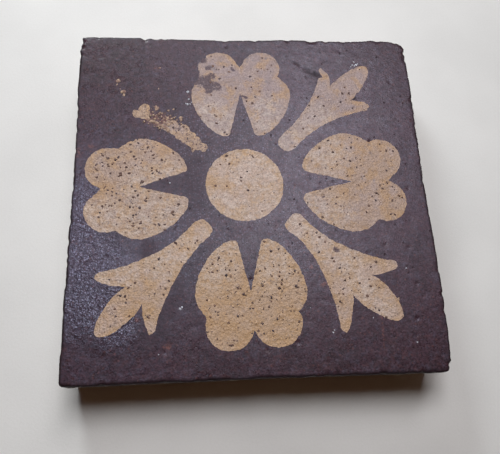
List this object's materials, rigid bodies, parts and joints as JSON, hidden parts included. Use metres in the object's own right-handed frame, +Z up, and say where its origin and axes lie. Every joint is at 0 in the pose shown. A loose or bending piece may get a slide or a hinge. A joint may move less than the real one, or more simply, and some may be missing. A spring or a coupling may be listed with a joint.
{
  "type": "encaustic floor tile",
  "caption": "Square encaustic paving tile: dark clay face with a flush buff clay flower of disc, petals and sprigs, on a coarse core and a keyed back.",
  "frame": {"origin": "middle of the underside, on the surface that the tile lies on", "axes": "+X to the right along the front edge, +Y to the back edge, +Z up out of the worn face"},
  "size_m": [0.076, 0.0768, 0.0127],
  "materials": {
    "chocolate_clay": "dark purple-brown vitreous clay, worn to a satin with a fine orange-peel",
    "buff_clay": "buff clay, matt to satin, with fine dark iron specks",
    "core_clay": "coarse, gritty, open brown clay",
    "backing_clay": "fine matt brown clay with traces of lime mortar",
    "lime_mortar": "chalky crumbs of old mortar, on the looks only"
  },
  "bodies": {
    "root": {"face_layer": "chocolate_clay", "core_layer": "core_clay", "backing_layer": "backing_clay", "centre_disc": "buff_clay", "petal_right": "buff_clay", "petal_back": "buff_clay", "petal_left": "buff_clay", "petal_front": "buff_clay", "sprig_front_right": "buff_clay", "sprig_front_left": "buff_clay", "sprig_back_right": "buff_clay", "sprig_back_left_stem": "buff_clay", "sprig_back_left_leaf": "buff_clay"}
  },
  "joints": []
}
